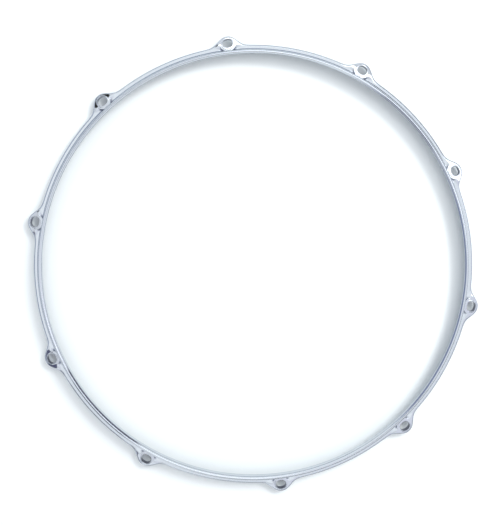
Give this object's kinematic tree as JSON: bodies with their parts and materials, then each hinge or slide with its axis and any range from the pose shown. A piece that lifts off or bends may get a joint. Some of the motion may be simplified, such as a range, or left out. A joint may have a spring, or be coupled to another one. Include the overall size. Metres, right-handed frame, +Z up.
{
  "type": "drum hoop",
  "caption": "Die-cast drum hoop: a round wall with a striking lip, a flange and skirt over the head's edge, and bell-shaped ears with oval holes for the tension rods.",
  "frame": {"origin": "centre of the hoop, in the plane that the skirt's edge rests on", "axes": "+Z up from the skirt's edge to the striking lip, +X through the middle of one tension ear"},
  "size_m": [0.394, 0.3778, 0.019],
  "materials": {
    "chrome_plate": "polished chrome plate on a zinc casting"
  },
  "bodies": {
    "root": {"lip_wall_01": "chrome_plate", "lip_wall_02": "chrome_plate", "lip_wall_03": "chrome_plate", "lip_wall_04": "chrome_plate", "lip_wall_05": "chrome_plate", "lip_wall_06": "chrome_plate", "lip_wall_07": "chrome_plate", "lip_wall_08": "chrome_plate", "lip_wall_09": "chrome_plate", "lip_wall_10": "chrome_plate", "tension_ear_01": "chrome_plate", "tension_ear_02": "chrome_plate", "tension_ear_03": "chrome_plate", "tension_ear_04": "chrome_plate", "tension_ear_05": "chrome_plate", "tension_ear_06": "chrome_plate", "tension_ear_07": "chrome_plate", "tension_ear_08": "chrome_plate", "tension_ear_09": "chrome_plate", "tension_ear_10": "chrome_plate"}
  },
  "joints": []
}
